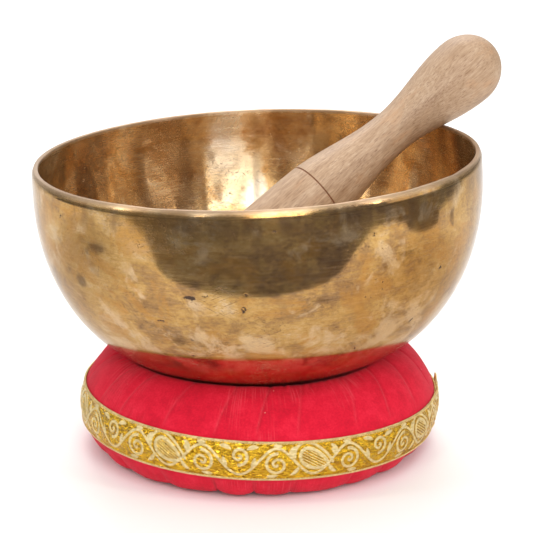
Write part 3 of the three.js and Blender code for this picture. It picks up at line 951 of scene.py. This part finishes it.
def cotton_material():
    s = Shade("crimson_cotton")
    space = s.place("cloth_space")
    painted_crease_highlight = s.number("painted_crease_highlight")
    uv = s.put("ShaderNodeUVMap", uv_map="UVMap").outputs[0]
    split = s.put("ShaderNodeSeparateXYZ", {"Vector": uv})
    round_turn, along = split.outputs[0], split.outputs[1]
    warp = s.math("SINE", s.times(round_turn, TAU * WARP_THREADS))
    weft = s.math("SINE", s.times(along, TAU / WEFT_PITCH))
    weave = s.times(warp, weft)
    stretched = s.put("ShaderNodeMapping", {"Vector": uv, "Scale": (760, 30, 1)}).outputs[0]
    slub = s.noise(stretched, 1.0, 3.0)
    cloud = s.noise(space, 42.0, 4.0, 0.6)
    blotch = s.noise(space, 150.0, 4.0, 0.6)
    nap = s.noise(space, 900.0, 4.0, 0.75)
    tone = s.times(nap, 0.38, s.times(cloud, 0.32))
    tone = s.times(blotch, 0.30, tone)
    body = s.ramp(
        tone,
        (0.36, (0.48, 0.004, 0.020)),
        (0.50, (0.63, 0.006, 0.028)),
        (0.64, (0.74, 0.018, 0.048)),
    )
    faded = s.span(s.noise(space, 30.0, 2.0), 0.50, 0.62)
    ribs = s.times(s.span(slub, 0.46, 0.70, 0.0, 0.26), faded)
    body = s.mix(ribs, body, (0.82, 0.13, 0.16))
    # painted shade beside each crease, and a painted highlight along it
    painted_shade_beside_crease = s.number("painted_crease_shade")
    body = s.mix(s.times(painted_shade_beside_crease, 0.45), body, (0.30, 0.002, 0.010))
    body = s.mix(s.times(painted_crease_highlight, 0.40), body, (0.82, 0.15, 0.18))
    lint = s.span(s.cells(space, 80.0), 0.014, 0.034, 1.0, 0.0)
    body = s.mix(s.times(lint, 0.55), body, (0.74, 0.52, 0.40))
    normal = s.bump(weave, 0.06 * MM, 0.6)
    normal = s.bump(nap, 0.16 * MM, 0.6, normal)
    normal = s.bump(blotch, 0.25 * MM, 0.4, normal)
    s.set(Base_Color=body, Roughness=0.88, Normal=normal, Specular_IOR_Level=0.2)
    s.set(Sheen_Weight=0.12, Sheen_Roughness=0.45, Sheen_Tint=(1.0, 0.5, 0.55, 1))
    return s.material


# ---- ribbon

def ribbon_rise(azimuth):
    return -COVER_RADIUS * math.tan(RIBBON_TILT) * np.cos(azimuth - RIBBON_LOW_SIDE)


def lap_lift(turn):
    """How far the ribbon stands off at a turn from its start: its last stretch laps its first."""
    return (RIBBON_THICKNESS + RIBBON_GAP) * smooth((turn - TAU + RIBBON_LAP / 2) / (RIBBON_LAP / 2))


def stroke(points, width):
    """A drawn line as many discs: places and radii in millimetres."""
    points = np.asarray(points, float)
    widths = np.broadcast_to(np.asarray(width, float), (len(points),))
    return np.concatenate([points, widths[:, None] / 2], 1)


def curl(centre, start, turns, size, sense, width):
    """A spiral tendril that winds in to its centre and ends in a dot."""
    share = np.linspace(0, 1, 60)
    angle = start + sense * turns * TAU * share
    reach = size * (1 - share) ** 0.8 + 0.2
    x = centre[0] + reach * np.cos(angle)
    y = centre[1] + reach * np.sin(angle)
    return stroke(np.stack([x, y], 1), width * (1.05 - 0.3 * share))


def drop(centre, tilt, length, breadth):
    """The closed outline of a bent drop-shaped leaf."""
    t = np.linspace(0, TAU, 110)
    x = length / 2 * np.cos(t)
    y = breadth / 2 * np.sin(t) * (0.45 + 0.55 * np.sin(t / 2) ** 1.1)
    y = y + 0.06 * breadth * (x / length * 2) ** 2
    c, s = math.cos(tilt), math.sin(tilt)
    return np.stack([centre[0] + c * x - s * y, centre[1] + s * x + c * y], 1)


def inside_shape(x, y, shape):
    """True for the places inside a closed outline."""
    found = np.zeros(x.shape, bool)
    for (x0, y0), (x1, y1) in zip(shape, np.roll(shape, -1, 0)):
        crosses = (y0 > y) != (y1 > y)
        slope = (x1 - x0) * (y - y0) / (y1 - y0 + 1e-12) + x0
        found ^= crosses & (x < slope)
    return found


def frond(start, heading, bend, length, width):
    """A filled tapering leaf that bends as it grows from its start."""
    share = np.linspace(0, 1, 16)
    angle = heading + bend * share
    x = start[0] + np.cumsum(np.cos(angle)) * length / 16
    y = start[1] + np.cumsum(np.sin(angle)) * length / 16
    return stroke(np.stack([x, y], 1), width * np.sin(np.pi * (0.12 + 0.84 * share)))


def repeat_strokes(period):
    """Strokes and hatched leaf of one repeat of the scrollwork, in millimetres."""
    t = np.linspace(0, period, 160)
    vine = np.stack([t, -7.4 * np.cos(2 * TAU * t / period)], 1)
    middle = (period / 2, 0.6)
    leaf = drop(middle, -0.5, 16.5, 11.5)
    hood = drop(middle, -0.5, 23.0, 17.5)[8:64]
    strokes = [stroke(vine, 1.4), stroke(leaf, 1.7), stroke(hood, 1.4)]
    for at, high, start, turns, size, sense in SCROLLS:
        strokes.append(curl((at * period, high), start, turns, size, sense, 1.6))
    for at, high, heading, bend, length in FRONDS:
        strokes.append(frond((at * period, high), heading, bend, length, 2.2))
        mirrored = ((1 - at) * period, high)
        strokes.append(frond(mirrored, math.pi - heading, -bend, length, 2.2))
    return np.concatenate(strokes), leaf


def brocade(across_mm, along_mm, period):
    """How pale and raised the weave is at each place of one repeat, from 0 to 1."""
    gap = np.full(across_mm.shape, 9.0)
    drawn, leaf = repeat_strokes(period)
    for offset in (-period, 0, period):
        for x, y, reach in drawn:
            near = np.abs(along_mm - x - offset) < 3.2
            if near.any():
                far = np.hypot(along_mm[near] - x - offset, across_mm[near] - y)
                gap[near] = np.minimum(gap[near], far - reach)
    stepped = 0.16 * np.sin(TAU * along_mm / 1.2) * np.sin(TAU * across_mm / 0.9)
    lines = np.clip(0.5 - (gap + stepped) / 0.35, 0, 1)
    in_leaf = inside_shape(along_mm, across_mm, leaf)
    lean = along_mm * 0.5 + across_mm * 0.85
    hatched = in_leaf & (np.abs(lean % 1.35 - 0.67) < 0.27)
    return np.maximum(lines, hatched * 0.9)


def ribbon_surface(turn, across, proud):
    """Places on the ribbon at a turn from its start and a share of its width, standing proud."""
    azimuth = RIBBON_START + turn
    height = RIBBON_LOW + (RIBBON_HIGH - RIBBON_LOW) * across + ribbon_rise(azimuth)
    tail = smooth((turn - TAU - RIBBON_LAP * 0.62) / (RIBBON_LAP * 0.22))
    lift = lap_lift(turn) + tail * across * 0.8 * MM
    radius = side_radius(height) + RIBBON_GAP + lift + proud
    height = height + tail * across ** 2 * 2.4 * MM
    return np.stack([radius * np.cos(azimuth), radius * np.sin(azimuth), height], -1)


def ribbon_pattern(turn, edge_mm, across_mm):
    """How pale the weave is at each [row, column] of the whole ribbon, borders included."""
    period = TAU * COVER_RADIUS / RIBBON_REPEATS / MM
    one = round(period * MM / RIBBON_STEP)
    along, across = np.meshgrid(np.arange(one) * period / one, across_mm)
    pattern = brocade(across, along, period)
    at = (turn * COVER_RADIUS / MM % period / period * one).astype(int) % one
    border = np.clip(1.4 - edge_mm / 0.75, 0, 1)
    inner = pattern[:, at] * smooth((edge_mm - 1.0) / 0.3)[:, None]
    return np.maximum(inner, border[:, None])


def make_ribbon():
    length = (TAU + RIBBON_LAP) * COVER_RADIUS
    width = RIBBON_HIGH - RIBBON_LOW
    columns = round(length / RIBBON_STEP)
    rows = round(width / RIBBON_STEP) + 1
    turn = np.linspace(0, TAU + RIBBON_LAP, columns)
    across = np.linspace(0, 1, rows)
    edge = np.minimum(across, 1 - across) * width / MM
    pale = ribbon_pattern(turn, edge, (across - 0.5) * width / MM)
    yarn = 0.5 + 0.5 * np.sin(TAU * (turn * COVER_RADIUS / PICOT_PITCH))
    picot = (edge < 0.5).astype(float)[:, None] * yarn[None] * PICOT_REACH
    share = across[:, None] + np.sign(across - 0.5)[:, None] * picot / width
    proud = RIBBON_THICKNESS - PATTERN_RELIEF + PATTERN_RELIEF * pale
    front = ribbon_surface(turn[None], share, proud)
    back = ribbon_surface(turn[None], across[[-1, 0], None], np.zeros((2, 1)))
    grid = np.concatenate([front, back])
    ribbon = grid_object("brocade_ribbon_band", grid, ring_rows=True, ring_columns=False)
    cap_ends(ribbon, len(grid), columns)
    pale = np.concatenate([pale, np.zeros((2, columns))])
    store(ribbon, "pale", pale.reshape(-1))
    flat_x = np.broadcast_to(turn * COVER_RADIUS, pale.shape)
    flat_y = np.concatenate([across, across[[-1, 0]]]) * width
    flat_y = np.broadcast_to(flat_y[:, None], pale.shape)
    flat = np.stack([flat_x, flat_y, 0 * flat_x], -1)
    store(ribbon, "ribbon_space", flat.reshape(-1, 3))
    face_out(ribbon)
    return ribbon, width, length


def brocade_material():
    s = Shade("gold_brocade")
    space = s.place("ribbon_space")
    pale = s.number("pale")
    split = s.put("ShaderNodeSeparateXYZ", {"Vector": space})
    along, across = split.outputs[0], split.outputs[1]
    skew = s.times(across, 0.55, along)
    twill = s.math("SINE", s.times(skew, TAU / TWILL_PITCH))
    weft = s.math("SINE", s.times(across, TAU / RIBBON_WEFT_PITCH))
    cell = s.cells(s.scaled(space, (0.45, 1, 1)), 1400.0, "Color")
    spark = s.put("ShaderNodeSeparateColor", {"Color": cell}).outputs[0]
    ground = s.mix(spark, (0.46, 0.225, 0.008), (0.88, 0.56, 0.040))
    thread = s.mix(spark, (0.58, 0.44, 0.19), (0.84, 0.70, 0.38))
    body = s.mix(pale, ground, thread)
    body = s.mix(s.span(twill, -1.0, 1.0, 0.0, 0.2), body, (0.36, 0.19, 0.02))
    bumps = s.times(twill, 0.35, s.times(weft, 0.4))
    normal = s.bump(bumps, 0.10 * MM, 0.7)
    # every float of metal thread lies at its own slight angle and glints by itself
    centred = s.vector("SUBTRACT", cell, (0.5, 0.5, 0.5))
    tilt = s.span(pale, 0.0, 1.0, 1.15, 0.45)
    leaned = s.vector("MULTIPLY_ADD", centred, tilt, normal)
    facing = s.vector("NORMALIZE", leaned)
    metal = s.span(pale, 0.0, 1.0, 0.92, 0.35)
    rough = s.span(pale, 0.0, 1.0, 0.24, 0.42)
    s.set(Base_Color=body, Roughness=rough, Metallic=metal, Normal=facing)
    return s.material


# ---- threads

def stitch_row(name, across):
    """A slanted whip stitch along the ribbon at a share of its width."""
    pitch = STITCH_LENGTH + STITCH_GAP
    count = round((TAU + RIBBON_LAP * 0.3) * COVER_RADIUS / pitch)
    reach = STITCH_LENGTH / 2 / COVER_RADIUS
    arch = 1 - np.linspace(-1, 1, 7) ** 4
    proud = RIBBON_THICKNESS + (arch * 0.30 - 0.12) * MM
    slant = across + np.linspace(-0.022, 0.022, 7)
    parts = []
    for k in range(count):
        middle = (k + 0.5) * pitch / COVER_RADIUS
        turn = middle + np.linspace(-reach, reach, 7)
        path = ribbon_surface(turn, slant, proud)
        parts.append(tube(path, STITCH_THICKNESS / 2))
    return joined(name, parts)


def gather_row(name, node, radius):
    """A gathering thread round the middle, in place of a CAD node, that dips in and out of folds."""
    low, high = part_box(node)
    turn = np.arange(220) * TAU / 220
    height = (low.z + high.z) / 2 + GATHER_SWING * np.sin(turn * 18)
    reach = radius + 0.35 * MM * np.cos(turn * 36)
    path = np.stack([reach * np.cos(turn), reach * np.sin(turn), height], 1)
    return joined(name, [tube(path, GATHER_THICKNESS / 2, 8, closed=True)])


def thread_material(name, colour, dark):
    s = Shade(name)
    coordinates = s.put("ShaderNodeTexCoord").outputs["Object"]
    ply = s.noise(coordinates, 2600.0, 2.0)
    s.set(Base_Color=s.mix(s.span(ply, 0.35, 0.65), dark, colour))
    s.set(Roughness=0.6, Normal=s.bump(ply, 0.08 * MM, 0.7))
    s.set(Sheen_Weight=0.2)
    return s.material


def filling_material():
    s = Shade("cotton_filling")
    coordinates = s.put("ShaderNodeTexCoord").outputs["Object"]
    tuft = s.noise(coordinates, 180.0, 6.0, 0.7, 1.5)
    s.set(Base_Color=s.ramp(tuft, (0.3, (0.62, 0.58, 0.50)), (0.7, (0.86, 0.83, 0.76))))
    s.set(Roughness=0.95, Normal=s.bump(tuft, 1.5 * MM, 0.8))
    return s.material


# ---- studio

def floor_card(name, points, material, height):
    """A flat stage piece on the floor with the given outline, in studio coordinates."""
    places = [studio(x, y, height) for x, y in points]
    made = new_piece(name, places, [tuple(range(len(places)))])
    made.data.materials.append(material)
    return made


def plain_material(name, colour, roughness):
    s = Shade(name)
    s.set(Base_Color=(*colour, 1), Roughness=roughness, Specular_IOR_Level=0.2)
    return s.material


def flag_card(name, centre, reach, colour):
    """A card on the floor that fades out towards its oval edge."""
    turn = np.arange(FLAG_CORNERS) * TAU / FLAG_CORNERS
    edge = [(centre[0] + reach[0] * math.cos(a), centre[1] + reach[1] * math.sin(a)) for a in turn]
    faces = [(0, k + 1, (k + 1) % FLAG_CORNERS + 1) for k in range(FLAG_CORNERS)]
    made = new_piece(name, [studio(x, y, 2 * MM) for x, y in [centre] + edge], faces)
    store(made, "near", np.array([1.0] + [0.0] * FLAG_CORNERS))
    s = Shade(name)
    near = s.span(s.number("near"), 0.0, 1.0, 0.0, FLAG_STRENGTH)
    s.set(Base_Color=(*colour, 1), Roughness=0.7, Specular_IOR_Level=0.2, Alpha=near)
    made.data.materials.append(s.material)
    return made


def make_stage():
    """A pale floor, and cards on it that are seen only in reflections."""
    reach = FLOOR_REACH
    square = [(-reach, -reach), (reach, -reach), (reach, reach), (-reach, reach)]
    floor_card("floor", square, plain_material("pale_floor", (0.95, 0.95, 0.95), 0.6), 0)
    dark = plain_material("dark_surroundings", (0.135, 0.133, 0.136), 0.7)
    cards = [
        floor_card("dark_beyond_table", DARK_BEYOND_TABLE, dark, 1 * MM),
        floor_card("dark_small", DARK_SMALL, dark, 1 * MM),
        flag_card("flag_left", (-0.42, -0.04), (0.40, 0.36), (0.34, 0.32, 0.30)),
        flag_card("flag_right", (0.33, -0.07), (0.38, 0.32), (0.44, 0.32, 0.16)),
    ]
    for card in cards:
        card.visible_camera = False
        card.visible_diffuse = False
        card.visible_shadow = False


def soft_light(name, place, target, size, power):
    data = bpy.data.lights.new(name, "AREA")
    data.shape = "RECTANGLE"
    data.size, data.size_y = size
    data.energy = power
    lamp = bpy.data.objects.new(name, data)
    bpy.context.scene.collection.objects.link(lamp)
    lamp.location = studio(*place)
    aim = studio(*target) - lamp.location
    lamp.rotation_euler = aim.to_track_quat("-Z", "Y").to_euler()


def make_lights():
    world = bpy.data.worlds.new("soft_studio")
    world.use_nodes = True
    background = world.node_tree.nodes["Background"]
    background.inputs["Color"].default_value = (1, 1, 1, 1)
    background.inputs["Strength"].default_value = WORLD_STRENGTH
    bpy.context.scene.world = world
    for name, (place, target, size, power) in LIGHTS.items():
        soft_light(name, place, target, size, power)
    bpy.context.scene.view_settings.view_transform = "Standard"


def make_camera():
    data = bpy.data.cameras.new("camera")
    data.lens = CAMERA_LENS
    data.sensor_width = 36
    data.clip_start, data.clip_end = 0.05, 50
    camera = bpy.data.objects.new("camera", data)
    bpy.context.scene.collection.objects.link(camera)
    camera.location = studio(*CAMERA_PLACE)
    heading = STUDIO_TURN - CAMERA_YAW
    camera.rotation_euler = Euler((math.pi / 2 - CAMERA_PITCH, 0, heading))
    bpy.context.scene.camera = camera


# ---- putting it together

def finish_piece(piece, body, slot, material, *nodes):
    piece.data.materials.append(material)
    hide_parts(*nodes)
    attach(piece, body)


def build():
    make_camera()
    make_lights()
    make_stage()
    bowl_place, bowl_height, rim_radius = turned_frame("bowl")
    bowl = make_bowl(bowl_place, bowl_height, rim_radius)
    finish_piece(bowl, "bowl", "bronze", bronze_material(), "bowl")
    mallet_place, mallet_length, _ = turned_frame("mallet")
    mallet = make_mallet(mallet_place, mallet_length)
    finish_piece(mallet, "mallet", "mallet_wood", wood_material(), "mallet")
    cover = make_cover(bowl_place, rim_radius)
    finish_piece(cover, "cushion", "cover_cloth", cotton_material(), "cushion_cover")
    ribbon, width, length = make_ribbon()
    finish_piece(ribbon, "cushion", "ribbon_brocade", brocade_material(), "brocade_ribbon")
    gold = thread_material("gold_thread", (0.84, 0.68, 0.34), (0.52, 0.32, 0.07))
    red = thread_material("red_thread", (0.42, 0.012, 0.02), (0.20, 0.006, 0.01))
    upper = stitch_row("ribbon_stitches_upper", 0.965)
    lower = stitch_row("ribbon_stitches_lower", 0.035)
    over = gather_row("gather_thread_over", "gather_thread_top", 7.5 * MM)
    below = gather_row("gather_thread_below", "gather_thread_under", 8 * MM)
    finish_piece(upper, "cushion", "gold_thread", gold, "ribbon_stitching_upper")
    finish_piece(lower, "cushion", "gold_thread", gold, "ribbon_stitching_lower")
    finish_piece(over, "cushion", "red_thread", red, "gather_thread_top")
    finish_piece(below, "cushion", "red_thread", red, "gather_thread_under")
    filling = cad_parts["cushion_filling"]
    filling.data.materials.clear()
    filling.data.materials.append(filling_material())


build()
